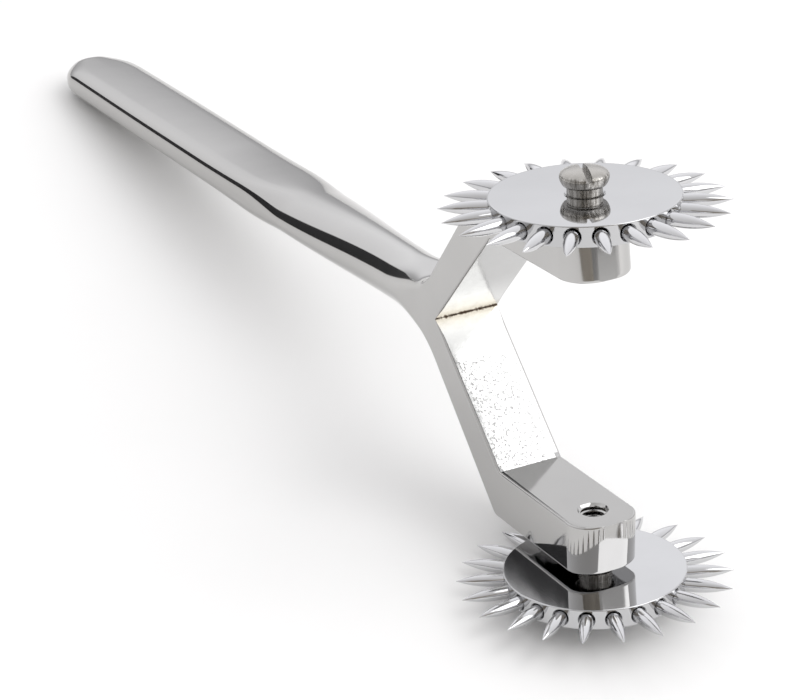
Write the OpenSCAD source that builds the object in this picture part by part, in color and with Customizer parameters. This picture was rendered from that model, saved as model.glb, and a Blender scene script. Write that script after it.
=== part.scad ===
// Double tracing wheel for fabric and paper patterns. A one-piece steel handle forks into
// two prongs. A disc with pressed-in pointed pins turns on a slotted shoulder screw on the
// outside of each prong.
// Millimetres. +X runs along the handle towards the wheels and +Z along the wheels' axles.
// The origin is the centre of the whole tool's bounding box.

/* [Overall] */
// Length from the handle's tail to the foremost pin tip
overall_l = 208.5; // [195:0.5:230]
// Distance from the fork's crease to the wheel axis
reach = 34; // [32:0.5:38]

/* [Handle] */
// Width of the flat grip
grip_w = 14; // [12:0.5:16]
// Thickness of the flat grip
grip_t = 5.5; // [5:0.1:6.4]
// Width where the neck has widened into the grip
waist_w = 13.4; // [11:0.2:14]
// Width of the neck behind the fork
neck_w = 9.2; // [8:0.2:9.6]
// Thickness of the neck behind the fork
neck_t = 8.3; // [7:0.1:9]

/* [Fork] */
// Width of the arms and prongs
fork_w = 10; // [9.8:0.1:12]
// Clear gap between the two prongs
fork_gap = 34.2; // [31:0.2:37]
// Thickness of each prong
prong_t = 7.2; // [6.6:0.1:8]

/* [Wheels] */
// Diameter of each disc
disc_d = 24.7; // [23:0.1:26]
// Thickness of each disc
disc_t = 2.8; // [2.8:0.1:3.4]
// Pins in each disc
pin_count = 22; // [16:1:22]
// Diameter over the pin tips
tip_d = 38; // [34:0.5:40]
// Diameter of each pin
pin_d = 1.86; // [1.5:0.02:1.9]

/* [Screws] */
// Endwise play that each disc has on its screw
side_play = 1.3; // [0.3:0.1:2]
// Diameter of each screw head
head_d = 6.4; // [6:0.1:7.5]
// Height of each screw head
head_h = 2.2; // [2:0.1:3]

/* [Hidden] */
$fn = 96;

// Gap between faces that rest on each other but belong to different bodies
rest_gap = 0.05;

// Wheel axis, fork crease and tail along X
axle_x = (overall_l - tip_d) / 2;
crease_x = axle_x - reach;
tail_x = -overall_l / 2;

// Fork outline, measured from the crease: prong faces, knee, and the arm's outer face
prong_in = fork_gap / 2;
prong_out = prong_in + prong_t;
knee_x = prong_in;
knee_out_x = knee_x - 1.75;
knee_r = 1.6;
arm_rise = 7.4;
arm_angle = atan2(prong_out - arm_rise, knee_out_x);
prong_end = reach + 5.4;
nose_r = 3.7;
end_slant = 0.9;

// Fillet where the neck swells into the arms
fillet_r = 8;
fillet_x = (neck_t / 2 - arm_rise) / tan(arm_angle) - fillet_r * tan(arm_angle / 2);
root_x = fillet_x + fillet_r * sin(arm_angle);
root_z = neck_t / 2 + fillet_r * (1 - cos(arm_angle));

// Handle loft, by distance behind the crease: the neck's flare to the waist, the thinning to the
// grip, the slow widening of the grip, and the change from an oval to a flat section
flare = [16, 54];
thinning = [24, 84];
broadening = [65, 125];
flattening = [50, 66];
neck_power = 2;
tail_l = 9.5;
tail_step = 10;
grip_edge_r = 2.4;
root_edge_r = 0.4;
swell_l = 16;
corner_steps = 10;

// Screws and their tapped holes
thread_r = 1.8;
thread_fit = 0.03;
shoulder_r = 2.3;
tip_recess = 2.5;
slot_w = 0.85;
slot_depth = 1.1;

// Discs and pins
rim_r = disc_d / 2;
bore_r = shoulder_r + 0.05;
bore_chamfer = 0.3;
rim_chamfer = 0.2;
pin_r = pin_d / 2;
pin_fit = 0.02;
pin_depth = 4;
pin_straight = 1.2;
ogive_steps = 8;

// Each wheel: side of the fork, turn of its pins, turn of its screw slot, and drop of the disc
// under gravity, so the upper disc rests on its prong and the lower one on its screw head
SIDES = ["upper", "lower"];
side_sign = [1, -1];
pin_phase = [11, 13];
slot_turn = [-19, 35];
disc_lift = [rest_gap, side_play - rest_gap];

function pin_name(s, i) = str(SIDES[s], "_pin_", i < 10 ? "0" : "", i);

function ease(t) = t <= 0 ? 0 : t >= 1 ? 1 : t * t * (3 - 2 * t);
function mix(a, b, t) = a + (b - a) * t;

// How far x is through a stretch behind the crease, from 0 to 1
function through(x, stretch) = ease((crease_x - x - stretch[0]) / (stretch[1] - stretch[0]));

// Growth of the neck into the fork's root: of its width and squareness, and of its thickness
function swelling(x) = 1 - ease((crease_x + root_x - x) / swell_l);
function fillet_rise(x) =
    x <= crease_x + fillet_x ? 0
    : fillet_r - sqrt(pow(fillet_r, 2) - pow(min(x - crease_x, root_x) - fillet_x, 2));
function tail_round(x, l) = sqrt(max(0, 1 - pow(max(0, tail_x + l - x) / l, 2)));

// Handle section at x: half width, half thickness, and how square it is
function grip_width(x) =
    mix(mix(neck_w, waist_w, through(x, flare)), grip_w, through(x, broadening));
function half_w(x) =
    mix(grip_width(x), fork_w - 0.02, swelling(x)) / 2 * max(tail_round(x, tail_l), 0.17);
function half_t(x) =
    (mix(neck_t, grip_t, through(x, thinning)) / 2 + fillet_rise(x) - 0.01 * swelling(x))
    * max(tail_round(x, grip_t / 2), 0.2);
function squareness(x) = max(through(x, flattening), swelling(x));
function edge_r(x) = mix(grip_edge_r, root_edge_r, swelling(x));

// Quarter outline from (a, 0) to (0, b): an oval blended by w into a rectangle of corner radius r
function quarter(a, b, r, w) = [
    for (k = [0 : corner_steps])
        let (
            p = neck_power / (neck_power - 1),
            t = 90 * (k + 0.5) / (corner_steps + 1),
            u = pow(a * cos(t), p),
            v = pow(b * sin(t), p),
            f = 90 * k / corner_steps
        )
        [
            mix(a * pow(u / (u + v), 1 / neck_power), a - r + r * cos(f), w),
            mix(b * pow(v / (u + v), 1 / neck_power), b - r + r * sin(f), w)
        ]
];

// One closed ring of points across X at x
function section(x) =
    let (
        a = half_w(x),
        b = half_t(x),
        q = quarter(a, b, min(edge_r(x), a - 0.05, b - 0.05), squareness(x)),
        back = [for (k = [corner_steps : -1 : 0]) [-q[k][0], q[k][1]]],
        top = concat(q, back)
    )
    concat([for (p = top) [x, p[0], p[1]]], [for (p = top) [x, -p[0], -p[1]]]);

// Stations along the handle, closer together at the tail, the flare and the fork, ending just
// inside the fork so that no end face lies on the fork's own back face
stations = concat(
    [for (t = [tail_step : tail_step : 90]) tail_x + tail_l * (cos(tail_step) - cos(t))],
    [for (d = [broadening[1] : -10 : flattening[1] + 7]) crease_x - d],
    [for (d = [flattening[1] : -4 : flare[0]]) crease_x - d],
    [for (k = [1 : 12]) mix(crease_x - flare[0], crease_x + root_x + 0.5, k / 12)]
);

module handle_loft() {
    rings = [for (x = stations) section(x)];
    n = len(rings[0]);
    m = len(rings);
    side = [
        for (j = [0 : m - 2]) for (i = [0 : n - 1])
            [j * n + i, (j + 1) * n + i, (j + 1) * n + (i + 1) % n, j * n + (i + 1) % n]
    ];
    tail_cap = [for (i = [0 : n - 1]) i];
    root_cap = [for (i = [n - 1 : -1 : 0]) (m - 1) * n + i];
    polyhedron(points = [for (r = rings) each r], faces = concat([tail_cap, root_cap], side));
}

// Upper half of the fork's outline in the X-Z plane, from the root round to the crease
function half_fork() = concat(
    [[root_x, root_z]],
    [
        for (t = [180 - (90 - arm_angle) : -arm_angle / 6 : 89.99])
            let (inset = knee_r * tan(arm_angle / 2))
            [knee_out_x + inset + knee_r * cos(t), prong_out - knee_r + knee_r * sin(t)]
    ],
    [
        [prong_end - end_slant, prong_out],
        [prong_end, prong_in + 0.6],
        [prong_end - 0.5, prong_in],
        [knee_x, prong_in],
        [0, 0]
    ]
);

module fork_profile() {
    polygon(half_fork());
    mirror([0, 1]) polygon(half_fork());
    polygon([[root_x, root_z], [root_x, -root_z], [0, 0]]);
}

// Plan of the fork, with the prongs' noses rounded
module fork_plan() {
    translate([root_x, -fork_w / 2])
        square([prong_end - nose_r - root_x, fork_w]);
    translate([prong_end - nose_r - 1, nose_r - fork_w / 2])
        square([nose_r + 1, fork_w - 2 * nose_r]);
    for (y = [-1, 1])
        translate([prong_end - nose_r, y * (fork_w / 2 - nose_r)])
            circle(nose_r);
}

module fork() {
    translate([crease_x, 0, 0])
        intersection() {
            rotate([90, 0, 0])
                linear_extrude(fork_w, center = true)
                    fork_profile();
            linear_extrude(2 * prong_out + 2, center = true)
                fork_plan();
        }
}

module tapped_holes() {
    for (z = [-1, 1])
        translate([axle_x, 0, 0])
            rotate([z > 0 ? 0 : 180, 0, 0]) {
                translate([0, 0, prong_in - 1])
                    cylinder(r = thread_r, h = prong_t + 2);
                translate([0, 0, prong_in - 0.01])
                    cylinder(r1 = thread_r + 0.3, r2 = thread_r, h = 0.3);
            }
}

module yoke() {
    color([0.76, 0.76, 0.78])
        difference() {
            union() {
                handle_loft();
                fork();
            }
            tapped_holes();
        }
}

// Turned outline of a screw, with z = 0 on the prong's outer face
function screw_outline() =
    let (seat = disc_t + side_play, hr = head_d / 2)
    [
        [0, tip_recess - prong_t],
        [thread_r - 0.5, tip_recess - prong_t],
        [thread_r - thread_fit, tip_recess - prong_t + 0.5],
        [thread_r - thread_fit, 0],
        [shoulder_r, 0],
        [shoulder_r, seat],
        [hr - 0.45, seat],
        [hr - 0.18, seat + head_h * 0.22],
        [hr, seat + head_h * 0.48],
        [hr - 0.08, seat + head_h * 0.64],
        [hr - 0.4, seat + head_h * 0.8],
        [hr - 1, seat + head_h * 0.91],
        [hr - 1.8, seat + head_h * 0.975],
        [0, seat + head_h]
    ];

module screw(s) {
    color([0.62, 0.61, 0.6])
        translate([axle_x, 0, side_sign[s] * (prong_out + rest_gap)])
            rotate([90 - 90 * side_sign[s], 0, 0])
                difference() {
                    rotate_extrude()
                        polygon(screw_outline());
                    rotate([0, 0, slot_turn[s]])
                        translate([-head_d, -slot_w / 2, disc_t + side_play + head_h - slot_depth])
                            cube([2 * head_d, slot_w, slot_depth + 1]);
                }
}

// Moves a wheel's pieces from the middle of its disc to its place on the fork
module at_wheel(s) {
    translate([axle_x, 0, side_sign[s] * (prong_out + rest_gap + disc_lift[s] + disc_t / 2)])
        rotate([0, 0, pin_phase[s]])
            children();
}

// Turned outline of a disc, with z = 0 at mid-thickness
function disc_outline() =
    let (h = disc_t / 2)
    [
        [bore_r, bore_chamfer - h],
        [bore_r + bore_chamfer, -h],
        [rim_r - rim_chamfer, -h],
        [rim_r, rim_chamfer - h],
        [rim_r, h - rim_chamfer],
        [rim_r - rim_chamfer, h],
        [bore_r + bore_chamfer, h],
        [bore_r, h - bore_chamfer]
    ];

// Blind hole for a pin, countersunk where it opens in the rim
module pin_hole() {
    hole_r = pin_r + pin_fit;
    translate([0, 0, rim_r - pin_depth])
        cylinder(r = hole_r, h = pin_depth + 1);
    translate([0, 0, rim_r - 0.2])
        cylinder(r1 = hole_r, r2 = hole_r + 0.3, h = 0.3);
}

module disc(s) {
    color([0.83, 0.83, 0.85])
        at_wheel(s)
            difference() {
                rotate_extrude()
                    polygon(disc_outline());
                for (i = [1 : pin_count])
                    rotate([0, 90, 360 * i / pin_count])
                        pin_hole();
            }
}

// Turned outline of a pin along its own axis, with z = 0 at the blind hole's floor
function pin_outline() =
    let (
        nose_l = (tip_d - disc_d) / 2 - pin_straight,
        base = pin_depth + pin_straight,
        swing = (pin_r * pin_r + nose_l * nose_l) / (2 * pin_r)
    )
    concat(
        [[0, pin_fit], [pin_r - 0.15, pin_fit], [pin_r, 0.2]],
        [
            for (k = [0 : ogive_steps - 1])
                let (d = nose_l * k / ogive_steps)
                [sqrt(swing * swing - d * d) + pin_r - swing, base + d]
        ],
        [[0.04, base + nose_l], [0, base + nose_l]]
    );

module pin(s, i) {
    color([0.78, 0.78, 0.8])
        at_wheel(s)
            rotate([0, 90, 360 * i / pin_count])
                translate([0, 0, rim_r - pin_depth])
                    rotate_extrude($fn = 32)
                        polygon(pin_outline());
}

yoke();
disc(0);  // upper_disc
disc(1);  // lower_disc
screw(0);  // upper_screw
screw(1);  // lower_screw
for (s = [0, 1]) for (i = [1 : pin_count])
    pin(s, i);
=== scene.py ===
"""Looks of the double tracing wheel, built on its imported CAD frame."""

import math

import bmesh
import bpy
import numpy as np
from mathutils import Matrix, Vector


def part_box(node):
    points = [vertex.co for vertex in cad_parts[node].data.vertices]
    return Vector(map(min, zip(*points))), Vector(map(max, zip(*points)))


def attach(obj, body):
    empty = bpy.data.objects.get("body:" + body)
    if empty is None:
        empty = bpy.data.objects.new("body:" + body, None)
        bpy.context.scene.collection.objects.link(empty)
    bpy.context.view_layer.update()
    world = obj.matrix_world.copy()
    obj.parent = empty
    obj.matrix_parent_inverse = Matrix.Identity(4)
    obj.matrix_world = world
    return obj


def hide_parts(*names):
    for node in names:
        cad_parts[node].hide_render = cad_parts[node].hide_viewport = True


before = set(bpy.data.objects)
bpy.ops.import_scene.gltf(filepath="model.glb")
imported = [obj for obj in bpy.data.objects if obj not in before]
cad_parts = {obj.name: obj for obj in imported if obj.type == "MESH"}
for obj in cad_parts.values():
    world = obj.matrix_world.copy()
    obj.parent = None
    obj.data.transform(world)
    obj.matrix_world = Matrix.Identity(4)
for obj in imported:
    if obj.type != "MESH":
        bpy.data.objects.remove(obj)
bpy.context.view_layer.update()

# Shapes are worked out in millimetres and turned into metres as each mesh is made.
MM = 0.001


def node_box(name):
    low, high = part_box(name)
    return np.array(low) / MM, np.array(high) / MM


yoke_low, yoke_high = node_box("yoke")
disc_low, disc_high = node_box("upper_disc")
screw_low, screw_high = node_box("upper_screw")

TAIL = yoke_low[0]
PRONG_END = yoke_high[0]
PRONG_OUT = yoke_high[2]
AXLE = (disc_low[0] + disc_high[0]) / 2
RIM_R = (disc_high[0] - disc_low[0]) / 2
DISC_T = disc_high[2] - disc_low[2]
HEAD_R = (screw_high[1] - screw_low[1]) / 2
HEAD_TOP = screw_high[2]

# Fork
REACH = 34.0
CREASE = AXLE - REACH
PRONG_T = 7.2
PRONG_IN = PRONG_OUT - PRONG_T
FORK_HALF = 5.0
KNEE_IN = PRONG_IN
KNEE_OUT = KNEE_IN - 1.75
KNEE_R = 1.6
ARM_RISE = 7.4
ARM_ANGLE = math.atan2(PRONG_OUT - ARM_RISE, KNEE_OUT)
FILLET_R = 8.0
NOSE_NEAR = 3.9
NOSE_FAR = 3.6
NOSE_SLANT = 0.9
NOSE_SHORT = 0.2
OUTER_EDGE = 0.35
INNER_EDGE = 0.36

# Handle, by distance behind the crease
GRIP_HALF = yoke_high[1]
GRIP_T = 2.75
WAIST_HALF = 6.7
NECK_HALF = 4.6
NECK_T = 4.15
FLARE = (16.0, 54.0)
THINNING = (24.0, 84.0)
BROADENING = (65.0, 125.0)
FLATTENING = (50.0, 66.0)
NECK_POWER = 2.0
GRIP_POWER = 3.4
TAIL_POWER = 2.3
TAIL_BLEND = 14.0
TAIL_L = 9.5
GRIP_EDGE = 1.5
SWELL_L = 16.0

FILLET_X = (NECK_T - ARM_RISE) / math.tan(ARM_ANGLE) - FILLET_R * math.tan(ARM_ANGLE / 2)
ROOT_X = FILLET_X + FILLET_R * math.sin(ARM_ANGLE)

# Wheels, screws and their holes; PLAY is the gap round a pin in its hole
PLAY = 0.02
PIN_R = 0.93
PIN_DEPTH = 4.0
PIN_STRAIGHT = 1.2
TIP_R = node_box("upper_pin_22")[1][0] - AXLE
THREAD_R = 1.8
SHOULDER_R = 2.3
SLOT_W = 0.85
SLOT_DEPTH = 1.1
HEAD_H = 2.2
SLOT_TURN = {"upper": -19, "lower": 35}


def ease(t):
    t = min(max(t, 0.0), 1.0)
    return t * t * (3 - 2 * t)


def mix(a, b, t):
    return a + (b - a) * t


def jitter(*seed):
    """A repeatable number from -1 to 1."""
    value = math.sin(sum((k + 1) * 12.9898 * s for k, s in enumerate(seed)) + 4.1) * 43758.5453
    return 2 * (value - math.floor(value)) - 1


# ---------------------------------------------------------------- meshes

# Points closer than this, in millimetres, are one point.
WELD = 0.0005


def new_object(name, points, faces, materials=(), face_slots=None):
    mesh = bpy.data.meshes.new(name)
    mesh.from_pydata([tuple(np.asarray(p, float) * MM) for p in points], [], faces)
    for m in materials:
        mesh.materials.append(m)
    if face_slots is not None:
        mesh.polygons.foreach_set("material_index", face_slots)
    mesh.update()
    obj = bpy.data.objects.new(name, mesh)
    bpy.context.scene.collection.objects.link(obj)
    return obj


def weld(obj):
    """Merges points that coincide and turns every face outwards."""
    bm = bmesh.new()
    bm.from_mesh(obj.data)
    bmesh.ops.remove_doubles(bm, verts=bm.verts, dist=WELD * MM)
    bmesh.ops.dissolve_degenerate(bm, edges=bm.edges, dist=WELD * MM)
    bmesh.ops.recalc_face_normals(bm, faces=bm.faces)
    bm.to_mesh(obj.data)
    bm.free()


def smooth(obj, angle=28):
    """Shades smooth across gentle edges, keeps sharp ones and holds flats flat."""
    obj.data.shade_smooth()
    obj.data.set_sharp_from_angle(angle=math.radians(angle))
    weights = obj.modifiers.new("weights", "WEIGHTED_NORMAL")
    weights.keep_sharp = True
    weights.weight = 80


def cut(obj, cutter):
    """Takes cutter away from obj for good, and removes cutter."""
    boolean = obj.modifiers.new("cut", "BOOLEAN")
    boolean.operation = "DIFFERENCE"
    boolean.solver = "EXACT"
    boolean.object = cutter
    bpy.context.view_layer.update()
    evaluated = obj.evaluated_get(bpy.context.evaluated_depsgraph_get())
    shaped = bpy.data.meshes.new_from_object(evaluated)
    obj.modifiers.remove(boolean)
    obj.data = shaped
    bpy.data.objects.remove(cutter)


def lathe_points(profile, steps, wobble=None):
    """Rings of points round Z for a profile of (radius, height) pairs."""
    points = []
    for k, (r, z) in enumerate(profile):
        for i in range(steps):
            t = 2 * math.pi * i / steps
            q = r + (wobble(k, t) if wobble and r > 0 else 0)
            points.append((q * math.cos(t), q * math.sin(t), z))
    faces = []
    for k in range(len(profile) - 1):
        for i in range(steps):
            j = (i + 1) % steps
            a, b = k * steps, (k + 1) * steps
            faces.append((a + i, a + j, b + j, b + i))
    return points, faces


def lathe(name, profile, steps, materials=(), wobble=None, caps=True):
    points, faces = lathe_points(profile, steps, wobble)
    if caps:
        last = (len(profile) - 1) * steps
        faces.append(tuple(reversed(range(steps))))
        faces.append(tuple(range(last, last + steps)))
    obj = new_object(name, points, faces, materials)
    weld(obj)
    return obj


def arc(cx, cz, r, start, end, steps):
    """Points of an arc, with its angles in degrees."""
    return [
        (cx + r * math.cos(math.radians(t)), cz + r * math.sin(math.radians(t)))
        for t in np.linspace(start, end, steps + 1)
    ]


# ---------------------------------------------------------------- materials


def shader(name, colour, metallic, roughness):
    material = bpy.data.materials.new(name)
    material.use_nodes = True
    tree = material.node_tree
    bsdf = tree.nodes["Principled BSDF"]
    bsdf.inputs["Base Color"].default_value = (*colour, 1)
    bsdf.inputs["Metallic"].default_value = metallic
    bsdf.inputs["Roughness"].default_value = roughness
    return material, tree, bsdf


def add(tree, kind, **values):
    node = tree.nodes.new(kind)
    for key, value in values.items():
        setattr(node, key, value)
    return node


def coordinates(tree, scale=(1, 1, 1)):
    """Places in the frame, in metres."""
    source = add(tree, "ShaderNodeTexCoord")
    mapping = add(tree, "ShaderNodeMapping")
    mapping.inputs["Scale"].default_value = scale
    tree.links.new(source.outputs["Object"], mapping.inputs["Vector"])
    return mapping.outputs["Vector"]


def axes(tree, vector):
    """The X, Y and Z of a vector, as named outputs."""
    node = add(tree, "ShaderNodeSeparateXYZ")
    tree.links.new(vector, node.inputs["Vector"])
    return node.outputs


def noise(tree, vector, scale, detail=3.0, rough=0.5):
    node = add(tree, "ShaderNodeTexNoise")
    node.inputs["Scale"].default_value = scale
    node.inputs["Detail"].default_value = detail
    node.inputs["Roughness"].default_value = rough
    tree.links.new(vector, node.inputs["Vector"])
    return node.outputs["Fac"]


def ramp(tree, source, stops):
    """A colour ramp through (position, colour) stops; a plain number stands for a grey."""
    node = add(tree, "ShaderNodeValToRGB")
    elements = node.color_ramp.elements
    while len(elements) < len(stops):
        elements.new(0.5)
    for element, (position, value) in zip(elements, stops):
        element.position = position
        element.color = (value,) * 3 + (1,) if isinstance(value, (int, float)) else (*value, 1)
    tree.links.new(source, node.inputs["Fac"])
    return node.outputs["Color"]


def bump(tree, height, distance, strength=1.0, under=None):
    node = add(tree, "ShaderNodeBump")
    node.inputs["Distance"].default_value = distance
    node.inputs["Strength"].default_value = strength
    tree.links.new(height, node.inputs["Height"])
    if under is not None:
        tree.links.new(under, node.inputs["Normal"])
    return node.outputs["Normal"]


def math_node(tree, operation, *values):
    node = add(tree, "ShaderNodeMath", operation=operation)
    for socket, value in zip(node.inputs, values):
        if isinstance(value, (int, float)):
            socket.default_value = value
        else:
            tree.links.new(value, socket)
    return node.outputs["Value"]


def fade(tree, value, near, far):
    """1 up to near, easing to 0 at far."""
    node = add(tree, "ShaderNodeMapRange", interpolation_type="SMOOTHSTEP")
    node.inputs["From Min"].default_value = near
    node.inputs["From Max"].default_value = far
    node.inputs["To Min"].default_value = 1
    node.inputs["To Max"].default_value = 0
    tree.links.new(value, node.inputs["Value"])
    return node.outputs["Result"]


def tinted(tree, factor, under, over):
    """Colour under, covered by factor with over: a plain colour or another node's output."""
    node = add(tree, "ShaderNodeMix", data_type="RGBA")
    tree.links.new(factor, node.inputs["Factor"])
    tree.links.new(under, node.inputs["A"])
    if isinstance(over, tuple):
        node.inputs["B"].default_value = (*over, 1)
    else:
        tree.links.new(over, node.inputs["B"])
    return node.outputs["Result"]


def shades(colour, low, high):
    """Ramp stops from a darker to a lighter shade of a colour."""
    return [
        (0.3, tuple(c * low for c in colour)),
        (0.7, tuple(c * high for c in colour)),
    ]


def polished(name, colour, low, high, wave, worn=None):
    """Bright plated metal: faint clouds in its gloss, from low to high roughness, and a slow
    ripple from polishing, wave metres deep. A worn colour takes over towards the tail."""
    material, tree, bsdf = shader(name, colour, 1, low)
    near = coordinates(tree)
    cloud = noise(tree, near, 90, 4, 0.55)
    tint = ramp(tree, cloud, shades(colour, 0.97, 1.03))
    if worn:
        tint = tinted(tree, fade(tree, axes(tree, near)["X"], -0.02, 0.042), tint, worn)
    tree.links.new(tint, bsdf.inputs["Base Color"])
    tree.links.new(ramp(tree, cloud, [(0.3, low), (0.75, high)]), bsdf.inputs["Roughness"])
    ripple = noise(tree, near, 110, 2, 0.4)
    tree.links.new(bump(tree, ripple, wave), bsdf.inputs["Normal"])
    return material


def cast_chrome():
    """Plating over the rough forging inside the fork: a crinkled, pitted skin, with a painted
    highlight on the upper arm near the crease and brownish painted shade beside the crease, darkest in
    a near-black painted line along it."""
    colour = (0.56, 0.56, 0.555)
    material, tree, bsdf = shader("fork_cast_chrome", colour, 1, 0.12)
    near = coordinates(tree)
    place = axes(tree, near)

    # Grain everywhere, and pits on the lower arm that thin out towards the far side
    low_arm = math_node(tree, "LESS_THAN", place["Z"], -0.005)
    rough = math_node(tree, "MULTIPLY", fade(tree, place["Y"], -0.0045, 0.008), low_arm)
    pits = ramp(tree, noise(tree, near, 3000, 3, 0.6), [(0.35, 0.0), (0.43, 1.0)])
    pits = math_node(tree, "MULTIPLY", pits, rough)
    waves = bump(tree, noise(tree, near, 420, 2, 0.4), 0.00003, 0.8)
    skin = bump(tree, noise(tree, near, 2600, 5, 0.6), 0.000012, 0.7, waves)
    tree.links.new(bump(tree, pits, 0.0001, 0.9, skin), bsdf.inputs["Normal"])

    # Plating, with a painted highlight on the upper arm near the crease, and painted shade over it
    # beside and along the crease
    blotch = noise(tree, near, 900, 4, 0.6)
    rust = noise(tree, near, 1900, 4, 0.7)
    away = math_node(tree, "ABSOLUTE", math_node(tree, "SUBTRACT", place["X"], CREASE * MM))
    high_arm = math_node(tree, "GREATER_THAN", place["Z"], 0)
    # Painted highlight: a lighter plating colour on the upper arm near the crease
    upper_highlight = math_node(tree, "MULTIPLY", fade(tree, away, 0.001, 0.008), high_arm)
    plating_and_highlight = tinted(tree, upper_highlight, ramp(tree, blotch, shades(colour, 0.94, 1)), (0.76, 0.76, 0.75))
    ragged = math_node(tree, "MULTIPLY_ADD", rust, -0.0009, away)
    # Brownish painted shade beside the crease, and a near-black painted shade line along it, both
    # ragged at their edges
    haze = math_node(tree, "MULTIPLY", fade(tree, ragged, 0.0, 0.0014), 0.5)
    crease_shaded = tinted(tree, haze, plating_and_highlight, (0.43, 0.39, 0.31))
    broken = math_node(tree, "MULTIPLY_ADD", rust, -0.0006, away)
    crease_shade_line = fade(tree, broken, -0.00026, -0.0001)
    tree.links.new(tinted(tree, crease_shade_line, crease_shaded, (0.07, 0.05, 0.035)), bsdf.inputs["Base Color"])
    tree.links.new(ramp(tree, blotch, [(0.3, 0.08), (0.7, 0.2)]), bsdf.inputs["Roughness"])
    return material


def turned_steel():
    """Machined screw steel: dark streaks down the sides and a plain warm grey crown."""
    material, tree, bsdf = shader("screw_steel", (0.42, 0.41, 0.39), 1, 0.24)
    streaks = noise(tree, coordinates(tree, (1, 1, 0.12)), 2600, 4, 0.65)
    blotch = noise(tree, coordinates(tree), 700, 3, 0.5)
    normal = add(tree, "ShaderNodeTexCoord").outputs["Normal"]
    flat = math_node(tree, "ABSOLUTE", axes(tree, normal)["Z"])
    side = fade(tree, flat, 0.45, 0.85)
    drawn = ramp(tree, streaks, [(0.34, (0.15, 0.14, 0.125)), (0.64, (0.56, 0.545, 0.52))])
    crown = ramp(tree, blotch, [(0.3, (0.4, 0.385, 0.36)), (0.7, (0.47, 0.455, 0.43))])
    tree.links.new(tinted(tree, side, crown, drawn), bsdf.inputs["Base Color"])
    tree.links.new(ramp(tree, blotch, [(0.3, 0.16), (0.7, 0.34)]), bsdf.inputs["Roughness"])
    depth = math_node(tree, "MULTIPLY", streaks, side)
    tree.links.new(bump(tree, depth, 0.00012, 0.9), bsdf.inputs["Normal"])
    return material


def paint_edge_reflection(material):
    """Near-black painted reflection along the lower prong's near edge, standing in for the edge
    mirroring the dark surroundings; widest at the knee and gone at the nose.
    """
    tree = material.node_tree
    colour = tree.nodes["Principled BSDF"].inputs["Base Color"]
    under = colour.links[0].from_socket
    place = axes(tree, coordinates(tree))
    ahead = math_node(tree, "SUBTRACT", place["X"], (CREASE + KNEE_IN) * MM)
    edge = math_node(tree, "MULTIPLY_ADD", ahead, 0.02, place["Y"])
    lower = math_node(tree, "LESS_THAN", place["Z"], 0)
    # Near-black painted reflection along the near edge of the lower arm and prong
    edge_reflection = math_node(tree, "MULTIPLY", fade(tree, edge, -0.0043, -0.0042), lower)
    tree.links.new(tinted(tree, edge_reflection, under, (0.02, 0.02, 0.02)), colour)


handle_chrome = polished(
    "handle_chrome", (0.5, 0.495, 0.487), 0.05, 0.09, 0.00002, (0.42, 0.414, 0.404)
)
disc_chrome = polished("disc_chrome", (0.535, 0.537, 0.545), 0.02, 0.035, 0.000002)
pin_chrome = polished("pin_chrome", (0.62, 0.62, 0.63), 0.05, 0.1, 0.00003)
prong_chrome = polished("prong_chrome", (0.39, 0.386, 0.376), 0.06, 0.12, 0.00006)
# A near-black painted reflection along the lower prong's near edge
paint_edge_reflection(prong_chrome)
fork_cast = cast_chrome()
screw_steel = turned_steel()

# ---------------------------------------------------------------- handle and fork

ARC_STEPS = 18
BEVEL_STEPS = 4


def corner(a, b, n, r, w):
    """Quarter outline from (a, 0) to (0, b), spaced by its normal: a superellipse of power n
    blended by w into a rectangle with corner radius r."""
    points = []
    for k in range(ARC_STEPS + 1):
        t = math.pi / 2 * k / ARC_STEPS
        c, s = max(math.cos(t), 0.0), math.sin(t)
        u, v = (a * c) ** (n / (n - 1)), (b * s) ** (n / (n - 1))
        oval = (a * (u / (u + v)) ** (1 / n), b * (v / (u + v)) ** (1 / n))
        square = (a - r + r * c, b - r + r * s)
        points.append((mix(oval[0], square[0], w), mix(oval[1], square[1], w)))
    return points


def full_ring(a, b, n, r, w):
    """Closed outline, with a point in the middle of each side."""
    quarter = corner(a, b, n, r, w)
    back = [(-y, z) for y, z in reversed(quarter)]
    upper = [(a, 0.0)] + quarter + [(0.0, b)] + back
    lower = [(-y, -z) for y, z in upper]
    return upper + lower


def through(behind, stretch):
    """How far a distance behind the crease is through a stretch, from 0 to 1."""
    return ease((behind - stretch[0]) / (stretch[1] - stretch[0]))


def handle_section(x):
    """Half width, half thickness, oval power, corner radius and squareness at x from the crease."""
    behind = -x
    swell = 1 - ease((ROOT_X - x) / SWELL_L)
    waist = mix(NECK_HALF, WAIST_HALF, through(behind, FLARE))
    width = mix(waist, GRIP_HALF, through(behind, BROADENING))
    a = mix(width, FORK_HALF, swell)
    b = mix(NECK_T, GRIP_T, through(behind, THINNING))
    if x > FILLET_X:
        b += FILLET_R - math.sqrt(FILLET_R**2 - (min(x, ROOT_X) - FILLET_X) ** 2)
    gone = x - (TAIL - CREASE)
    if gone < TAIL_L:
        a *= math.sqrt(max(0.0001, 1 - (1 - gone / TAIL_L) ** 2))
    if gone < GRIP_T:
        b *= math.sqrt(max(0.0001, 1 - (1 - gone / GRIP_T) ** 2))
    power = mix(NECK_POWER, GRIP_POWER, through(behind, FLATTENING))
    power = mix(TAIL_POWER, power, ease(gone / TAIL_BLEND))
    return a, b, power, mix(GRIP_EDGE, OUTER_EDGE, swell), swell


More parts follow.
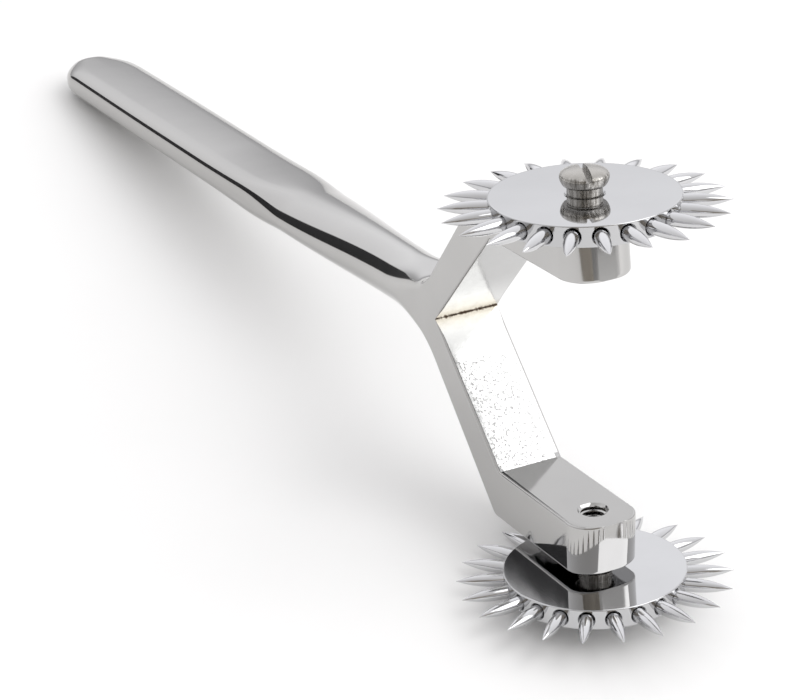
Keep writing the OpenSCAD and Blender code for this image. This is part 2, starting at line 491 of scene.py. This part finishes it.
def handle_stations():
    """Places along the handle from the crease, closest together at the tail and the fork."""
    turns = np.radians(np.linspace(7, 90, 22))
    round_end = [TAIL - CREASE + TAIL_L * (1 - math.cos(t) / math.cos(turns[0])) for t in turns]
    neck_start, root_start, grip_step, neck_step = -80, -14, 1.2, 0.5
    grip = list(np.arange(round_end[-1] + grip_step, neck_start, grip_step))
    neck = list(np.arange(neck_start, root_start, neck_step))
    root = list(np.linspace(root_start, ROOT_X, 40))
    return round_end + grip + neck + root


def arm_outside(x):
    """Point of the arm's outer face at x from the crease."""
    return x, ARM_RISE + x * math.tan(ARM_ANGLE)


def nose_half(radius, behind_end):
    """Half width of a nose with rounded corners, by distance behind its end."""
    into = max(0.0, radius - behind_end)
    return FORK_HALF - radius + math.sqrt(max(0.0, radius**2 - into**2))


def arm_path():
    """(inner point, outer point) pairs up one arm in the fork's plane, from root to nose, with
    the half widths to the near and far side, and the rows at the crease and at the knee."""
    start = 0.6
    root = [
        ((mix(ROOT_X, 0, t), 0.0), arm_outside(mix(ROOT_X, start, t))) for t in np.linspace(0, 1, 4)
    ]
    inset = KNEE_R * math.tan(ARM_ANGLE / 2)
    bend_start = KNEE_OUT - inset * math.cos(ARM_ANGLE)
    arm = [
        ((KNEE_IN * t, PRONG_IN * t), arm_outside(mix(start, bend_start, t)))
        for t in np.linspace(0, 1, 25)[1:]
    ]
    bend_x, bend_z = KNEE_OUT + inset, PRONG_OUT - KNEE_R
    bend = arc(bend_x, bend_z, KNEE_R, 90 + math.degrees(ARM_ANGLE), 90, 8)[1:]
    knee = [((KNEE_IN, PRONG_IN), p) for p in bend]
    longest = max(NOSE_NEAR, NOSE_FAR)
    nose = PRONG_END - CREASE - NOSE_SHORT - longest
    prong = [
        ((mix(KNEE_IN, nose, t), PRONG_IN), (mix(bend_x, nose, t), PRONG_OUT))
        for t in np.linspace(0, 1, 16)[1:]
    ]
    widths = [(FORK_HALF, FORK_HALF)] * (len(root) + len(arm) + len(knee) + len(prong))
    tip = []
    for t in np.linspace(0, math.pi / 2, 29)[1:]:
        out = math.sin(t)
        upper_x = nose + (longest - NOSE_SLANT) * out
        tip.append(((nose + longest * out, PRONG_IN), (upper_x, PRONG_OUT)))
        widths.append(tuple(nose_half(r, longest * (1 - out)) for r in (NOSE_NEAR, NOSE_FAR)))
    crease_row = len(root) - 1
    return root + arm + knee + prong + tip, widths, crease_row, crease_row + len(arm)


class Skin:
    """Collects points and quads for one welded mesh."""

    def __init__(self):
        self.points, self.faces, self.slots = [], [], []

    def add_points(self, points):
        first = len(self.points)
        self.points.extend(points)
        return list(range(first, first + len(points)))

    def strip(self, a, b, slot=0, margin=0):
        """Quads between two equal rows of point numbers, with slot 0 within margin of the ends."""
        count = len(a) - 1
        for i in range(count):
            self.faces.append((a[i], a[i + 1], b[i + 1], b[i]))
            self.slots.append(slot if margin <= i < count - margin else 0)

    def cap(self, row):
        self.faces.append(tuple(row))
        self.slots.append(0)


def arm_rows(inner, outer, sides, opened, sign):
    """One section of an arm: the outer U of points, then the inner face from side to side. The
    inner face's bevels are opened from 0 to 1, and sign is the arm's side of the fork."""
    inner, outer = np.array(inner), np.array(outer)
    a, shift = (sides[0] + sides[1]) / 2, (sides[1] - sides[0]) / 2
    height = float(np.linalg.norm(outer - inner))
    rise = (outer - inner) / height
    bevel = INNER_EDGE * opened
    edge = min(OUTER_EDGE, a * 0.5)
    shell = [(a, bevel)] + corner(a, height, 4, edge, 1) + [(0, height)]
    shell += [(-y, z) for y, z in reversed(shell[:-1])]
    turns = [math.pi / 2 * k / BEVEL_STEPS for k in range(BEVEL_STEPS + 1)]
    left = [(bevel - a - bevel * math.cos(t), bevel - bevel * math.sin(t)) for t in turns]
    middle = [(y, 0.0) for y in np.linspace(bevel - a, a - bevel, 13)[1:-1]]
    right = [(-y, z) for y, z in reversed(left)]

    def placed(points):
        return [
            (CREASE + inner[0] + rise[0] * z, y + shift, sign * (inner[1] + rise[1] * z))
            for y, z in points
        ]

    return placed(shell), placed(left + middle + right)


def build_yoke():
    """Handle, neck and fork as one skin, with its rough and its duller faces in slots of their own."""
    polished_slot, cast_slot, prong_slot = range(3)
    skin = Skin()
    rows = []
    for x in handle_stations():
        ring = full_ring(*handle_section(x))
        rows.append(skin.add_points([(CREASE + x, y, z) for y, z in ring]))
    for a, b in zip(rows, rows[1:]):
        skin.strip(a + a[:1], b + b[:1], polished_slot)
    skin.cap(rows[0])
    path, widths, crease_row, knee_row = arm_path()
    for sign in (1, -1):
        before = None
        for k, ((inner, outer), sides) in enumerate(zip(path, widths)):
            opened = min(1.0, max(0.0, (k - crease_row) / 3))
            shell, face = arm_rows(inner, outer, sides, opened, sign)
            row = (skin.add_points(shell), skin.add_points(face))
            if before:
                skin.strip(before[0], row[0], polished_slot)
            if before and k > crease_row:
                inside = cast_slot if k <= knee_row else prong_slot
                skin.strip(before[1], row[1], inside, BEVEL_STEPS)
            before = row
        skin.cap(before[0] + before[1])
    surfaces = (handle_chrome, fork_cast, prong_chrome)
    obj = new_object("yoke_look", skin.points, skin.faces, surfaces, skin.slots)
    weld(obj)
    return obj


def ragged_edge(k, t):
    """Unevenness of the lead-in's ring k at angle t, as a worn tap leaves it."""
    return 0.05 * math.sin(3 * t + 1) + 0.035 * math.sin(7 * t + k) + 0.02 * math.sin(17 * t)


def tapped_hole(sign):
    """Cutters for one tapped hole: sharp thread grooves, and a ragged lead-in at the inner end."""
    pitch = 0.7
    crest, groove = THREAD_R - 0.2, THREAD_R + 0.2
    z = -0.4
    thread = [(crest - 0.02, -1.0)]
    while z < PRONG_T + 1:
        thread += [(crest, z), (groove, z + 0.33), (groove, z + 0.38), (crest, z + 0.66)]
        z += pitch
    lead_in = [(-0.3, 0.5), (0.05, 0.34), (0.3, 0), (0.5, -0.3)]
    lead_in = [(THREAD_R + r, height) for r, height in lead_in]
    cutters = (
        lathe(f"thread_cutter_{sign}", thread, 64),
        lathe(f"lead_in_cutter_{sign}", lead_in, 64, wobble=ragged_edge),
    )
    place = Matrix.Translation((AXLE * MM, 0, sign * PRONG_IN * MM))
    for cutter in cutters:
        cutter.matrix_world = place @ Matrix.Diagonal((1, sign, sign, 1))
    return cutters


yoke = build_yoke()
for side in (1, -1):
    for cutter in tapped_hole(side):
        cut(yoke, cutter)
smooth(yoke)
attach(yoke, "handle")
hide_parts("yoke")

# ---------------------------------------------------------------- wheels


def disc_profile():
    """Half section of a disc, closed round the bore, with height 0 at mid-thickness."""
    h, edge, bevel, bore = DISC_T / 2, 0.14, 0.3, SHOULDER_R + 0.05
    side = [(bore, 0.0), (bore, h - bevel), (bore + bevel, h), (bore + bevel + 0.05, h)]
    side += [(RIM_R * 0.45, h), (RIM_R * 0.75, h), (RIM_R - 1.0, h), (RIM_R - edge - 0.1, h)]
    side += arc(RIM_R - edge, h - edge, edge, 90, 0, 5)
    side += [(RIM_R, h - edge - 0.06), (RIM_R, 0.0)]
    return side + [(r, -z) for r, z in reversed(side[1:-1])]


def pin_frame(node, wheel_node):
    """Turn about Z that points from a wheel's centre to one of its pins, and that centre."""
    low, high = node_box(wheel_node)
    centre = (low + high) / 2
    mean = np.array([v.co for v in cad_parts[node].data.vertices]).mean(0) / MM
    return math.atan2(mean[1] - centre[1], mean[0] - centre[0]), centre


def pin_profile():
    """Half section of a pin, an ogive on a straight shank, with height 0 at its hole's floor."""
    base = PIN_DEPTH + PIN_STRAIGHT
    nose = TIP_R - RIM_R - PIN_STRAIGHT
    swing = (PIN_R**2 + nose**2) / (2 * PIN_R)
    foot = [(0.0, PLAY), (PIN_R - 0.15, PLAY), (PIN_R, 0.2), (PIN_R, PIN_DEPTH), (PIN_R, base)]
    ogive = [
        (math.sqrt(swing**2 - d**2) + PIN_R - swing, base + d)
        for d in np.linspace(0, nose, 25)[1:-1]
    ]
    return foot + ogive + [(0.035, base + nose), (0.0, base + nose + 0.01)]


pin_lathe = lathe("pin_shape", pin_profile(), 40, (pin_chrome,), caps=False)
pin_mesh = pin_lathe.data
pin_mesh.shade_smooth()
pin_mesh.set_sharp_from_angle(angle=math.radians(35))
bpy.data.objects.remove(pin_lathe)


def hole_cutters(turns):
    """All the blind pin holes of a disc as one cutter, each with a narrow countersink."""
    steps, gap = 40, 0.1
    profile = [(PIN_R + PLAY, -PIN_DEPTH), (PIN_R + PLAY, -0.7), (PIN_R + gap, -0.6)]
    profile += [(PIN_R + gap, -0.2), (PIN_R + 0.3, 0.02), (PIN_R + 0.6, 0.4)]
    points, faces = lathe_points(profile, steps)
    last = len(points) - steps
    faces.append(tuple(reversed(range(steps))))
    faces.append(tuple(range(last, last + steps)))
    all_points, all_faces = [], []
    for turn in turns:
        c, s = math.cos(turn), math.sin(turn)
        first = len(all_points)
        for x, y, z in points:
            out = RIM_R + z
            all_points.append((out * c - y * s, out * s + y * c, -x))
        all_faces += [tuple(first + i for i in f) for f in faces]
    obj = new_object("pin_hole_cutter", all_points, all_faces)
    weld(obj)
    return obj


def uneven_seat(k, seat):
    """Slight lean, depth and turn of pin k in its hole, as pressed in by hand; seat is 1 or 2."""
    lean_x = Matrix.Rotation(math.radians(1.0 * jitter(k, seat)), 4, "X")
    lean_y = Matrix.Rotation(math.radians(1.1 * jitter(seat, k, 3)), 4, "Y")
    sink = Matrix.Translation((0, 0, (0.1 * jitter(k, 5, seat) - PIN_DEPTH) * MM))
    return lean_x @ lean_y @ sink @ Matrix.Rotation(3 * jitter(k, seat, 9), 4, "Z")


def build_wheel(side):
    disc_node = f"{side}_disc"
    body = f"{side}_wheel"
    pins = sorted(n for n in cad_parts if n.startswith(f"{side}_pin_"))
    frames = [pin_frame(n, disc_node) for n in pins]
    centre = Vector(frames[0][1] * MM)
    outline = disc_profile()
    disc = lathe(f"{side}_disc_look", outline + outline[:1], 352, (disc_chrome,), caps=False)
    cut(disc, hole_cutters([turn for turn, _ in frames]))
    smooth(disc, 20)
    disc.location = centre
    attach(disc, body)
    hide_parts(disc_node)
    seat = 1 if side == "upper" else 2
    for k, (node, (turn, _)) in enumerate(zip(pins, frames)):
        pin = bpy.data.objects.new(f"{node}_look", pin_mesh)
        bpy.context.scene.collection.objects.link(pin)
        pin.matrix_world = (
            Matrix.Translation(centre)
            @ Matrix.Rotation(turn, 4, "Z")
            @ Matrix.Rotation(math.pi / 2, 4, "Y")
            @ Matrix.Translation((0, 0, RIM_R * MM))
            @ uneven_seat(k, seat)
        )
        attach(pin, body)
        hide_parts(node)


for side in ("upper", "lower"):
    build_wheel(side)

# ---------------------------------------------------------------- screws


def screw_profile():
    """Half outline of a screw, with height 0 on the prong's outer face."""
    shank = PRONG_T - (screw_low[2] - PRONG_IN)
    top = HEAD_TOP - PRONG_OUT
    seat = top - HEAD_H
    low = [(0.0, -shank), (THREAD_R - 0.5, -shank), (THREAD_R - 0.04, 0.45 - shank)]
    low += [(THREAD_R - 0.04, 0.0), (SHOULDER_R, 0.0), (SHOULDER_R, seat * 0.5)]
    low += [(SHOULDER_R, seat - 0.08), (SHOULDER_R + 0.08, seat)]
    # The bun-shaped head, in parts of its radius and height
    head = [(0.855, 0.0), (0.875, 0.02), (0.905, 0.08), (0.94, 0.17), (0.97, 0.28), (0.99, 0.38)]
    head += [(1.0, 0.48), (0.997, 0.56), (0.98, 0.64), (0.945, 0.72), (0.88, 0.8), (0.79, 0.87)]
    head += [(0.67, 0.92), (0.5, 0.96), (0.3, 0.985), (0.12, 0.998), (0.0, 1.0)]
    return low + [(HEAD_R * r, seat + HEAD_H * z) for r, z in head]


def slot_cutter():
    """A long box with slightly wavy walls, for the screw's slot."""
    top = HEAD_TOP - PRONG_OUT
    n, length, wave = 24, HEAD_R * 1.3, 0.03
    points = []
    for k in range(n + 1):
        x = mix(-length, length, k / n)
        for y in (wave * jitter(k, 2) - SLOT_W / 2, wave * jitter(k, 7) + SLOT_W / 2):
            points += [(x, y, top - SLOT_DEPTH), (x, y, top + 1)]
    rows = [[4 * k, 4 * k + 1, 4 * k + 3, 4 * k + 2] for k in range(n + 1)]
    faces = [tuple(rows[0]), tuple(reversed(rows[-1]))]
    for a, b in zip(rows, rows[1:]):
        for i in range(4):
            j = (i + 1) % 4
            faces.append((a[i], a[j], b[j], b[i]))
    obj = new_object("slot_cutter", points, faces)
    weld(obj)
    return obj


def build_screw(side):
    sign = 1 if side == "upper" else -1
    screw = lathe(f"{side}_screw_look", screw_profile(), 128, (screw_steel,), caps=False)
    cut(screw, slot_cutter())
    smooth(screw, 32)
    screw.matrix_world = (
        Matrix.Translation((AXLE * MM, 0, sign * PRONG_OUT * MM))
        @ Matrix.Rotation(0 if sign > 0 else math.pi, 4, "X")
        @ Matrix.Rotation(math.radians(SLOT_TURN[side]), 4, "Z")
    )
    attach(screw, "handle")
    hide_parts(f"{side}_screw")


for side in ("upper", "lower"):
    build_screw(side)

# ---------------------------------------------------------------- floor, light and camera

# The tool stands on its tail and the lower screw's head, so the floor tilts in its frame. The
# points of contact are a little inside their rounded ends.
lower_foot = Vector(((AXLE - 1) * MM, 0, -HEAD_TOP * MM))
tail_foot = Vector(((TAIL + 1.2) * MM, 0, -2.4 * MM))
along = (lower_foot - tail_foot).normalized()
floor_up = along.cross(Vector((0, 1, 0))).normalized() * -1
if floor_up.z < 0:
    floor_up = -floor_up
studio = Matrix((along, floor_up.cross(along), floor_up)).transposed().to_4x4()


FLOOR_AT = (tail_foot + lower_foot) / 2 - floor_up * 0.0001


def stand(obj):
    """Puts a piece of the studio, made in millimetres above the floor, in its place."""
    obj.matrix_world = Matrix.Translation(FLOOR_AT) @ studio


def build_floor():
    """A wide sheet of pale matt paper."""
    material, tree, bsdf = shader("floor_paper", (0.93, 0.927, 0.92), 0, 0.6)
    soft = noise(tree, coordinates(tree), 30, 3)
    paper = ramp(tree, soft, [(0.3, (0.925, 0.922, 0.915)), (0.7, (0.935, 0.932, 0.925))])
    tree.links.new(paper, bsdf.inputs["Base Color"])
    bsdf.inputs["Specular IOR Level"].default_value = 0.1
    size = 6000
    corners = [(-size, -size, 0), (size, -size, 0), (size, size, 0), (-size, size, 0)]
    stand(new_object("floor", corners, [(0, 1, 2, 3)], (material,)))


def flag(name, colour, start, end, low, high):
    """A standing panel between two points of the floor, in millimetres, that only reflections
    see, as a studio's black flags are kept out of the picture."""
    material, tree, bsdf = shader(name, colour, 0, 0.8)
    soft = noise(tree, coordinates(tree), 12, 3)
    tree.links.new(ramp(tree, soft, shades(colour, 0.8, 1.2)), bsdf.inputs["Base Color"])
    points = [(*start, low), (*end, low), (*end, high), (*start, high)]
    obj = new_object(name, points, [(0, 1, 2, 3)], (material,))
    obj.visible_camera = obj.visible_diffuse = obj.visible_shadow = False
    stand(obj)


build_floor()
flag("left_flag", (0.012, 0.012, 0.014), (-700, -125), (-110, -125), 2, 112)
flag("front_flag", (0.27, 0.245, 0.21), (560, -820), (1000, 100), 2, 560)


def softbox(name, direction, distance, size, power):
    """A rectangle of light, at a distance in metres from a point near the tool's middle."""
    light = bpy.data.lights.new(name, "AREA")
    light.shape = "RECTANGLE"
    light.size, light.size_y = size
    light.energy = power
    lamp = bpy.data.objects.new(name, light)
    bpy.context.scene.collection.objects.link(lamp)
    aim = Vector(direction).normalized()
    lamp.location = Vector((0.03, 0, -0.01)) + aim * distance
    lamp.rotation_euler = aim.to_track_quat("Z", "Y").to_euler()


softbox("key", (0.637, 0.465, 0.615), 1.0, (0.82, 0.82), 4.5)


def build_world():
    """Soft surroundings, brightest behind the tool, and plain white to the camera itself."""
    world = bpy.data.worlds.new("studio")
    bpy.context.scene.world = world
    world.use_nodes = True
    tree = world.node_tree
    background = tree.nodes["Background"]
    direction = add(tree, "ShaderNodeTexCoord").outputs["Generated"]
    behind = add(tree, "ShaderNodeVectorMath", operation="DOT_PRODUCT")
    behind.inputs[1].default_value = studio.to_3x3() @ Vector((-0.9, 0.43, 0))
    tree.links.new(direction, behind.inputs[0])
    level = math_node(tree, "MULTIPLY_ADD", behind.outputs["Value"], 0.5, 0.5)
    around = ramp(tree, level, [(0.0, (0.55, 0.54, 0.53)), (1.0, (1.24, 1.24, 1.27))])
    height = add(tree, "ShaderNodeVectorMath", operation="DOT_PRODUCT")
    height.inputs[1].default_value = floor_up
    tree.links.new(direction, height.inputs[0])
    haze = ramp(tree, height.outputs["Value"], [(0.0, 0.42), (0.1, 0.56), (0.2, 0.9), (0.3, 1.03)])
    scaled = add(tree, "ShaderNodeVectorMath", operation="MULTIPLY")
    tree.links.new(around, scaled.inputs[0])
    tree.links.new(haze, scaled.inputs[1])
    sky = scaled.outputs["Vector"]
    seen = add(tree, "ShaderNodeLightPath").outputs["Is Camera Ray"]
    shown = add(tree, "ShaderNodeMix", data_type="RGBA")
    shown.inputs["B"].default_value = (1, 1, 1, 1)
    tree.links.new(seen, shown.inputs["Factor"])
    tree.links.new(sky, shown.inputs["A"])
    tree.links.new(shown.outputs["Result"], background.inputs["Color"])


build_world()

CAMERA_AT = Vector((0.33718, -0.14742, 0.12740))
CAMERA_AZ = 64.44
CAMERA_EL = 22.42
CAMERA_ROLL = -3.357
LENS = 109.72


def place_camera():
    az, el, roll = (math.radians(v) for v in (CAMERA_AZ, CAMERA_EL, CAMERA_ROLL))
    back = Vector((math.sin(az) * math.cos(el), -math.cos(az) * math.cos(el), math.sin(el)))
    level = Vector((math.cos(az), math.sin(az), 0))
    upright = back.cross(level)
    right = level * math.cos(roll) + upright * math.sin(roll)
    up = back.cross(right)
    turn = Matrix((right, up, back)).transposed().to_4x4()
    data = bpy.data.cameras.new("camera")
    data.lens = LENS
    data.sensor_width = 36
    data.clip_start = 0.01
    data.clip_end = 20
    camera = bpy.data.objects.new("camera", data)
    bpy.context.scene.collection.objects.link(camera)
    camera.matrix_world = Matrix.Translation(CAMERA_AT) @ turn
    bpy.context.scene.camera = camera


place_camera()
bpy.context.scene.view_settings.view_transform = "Standard"
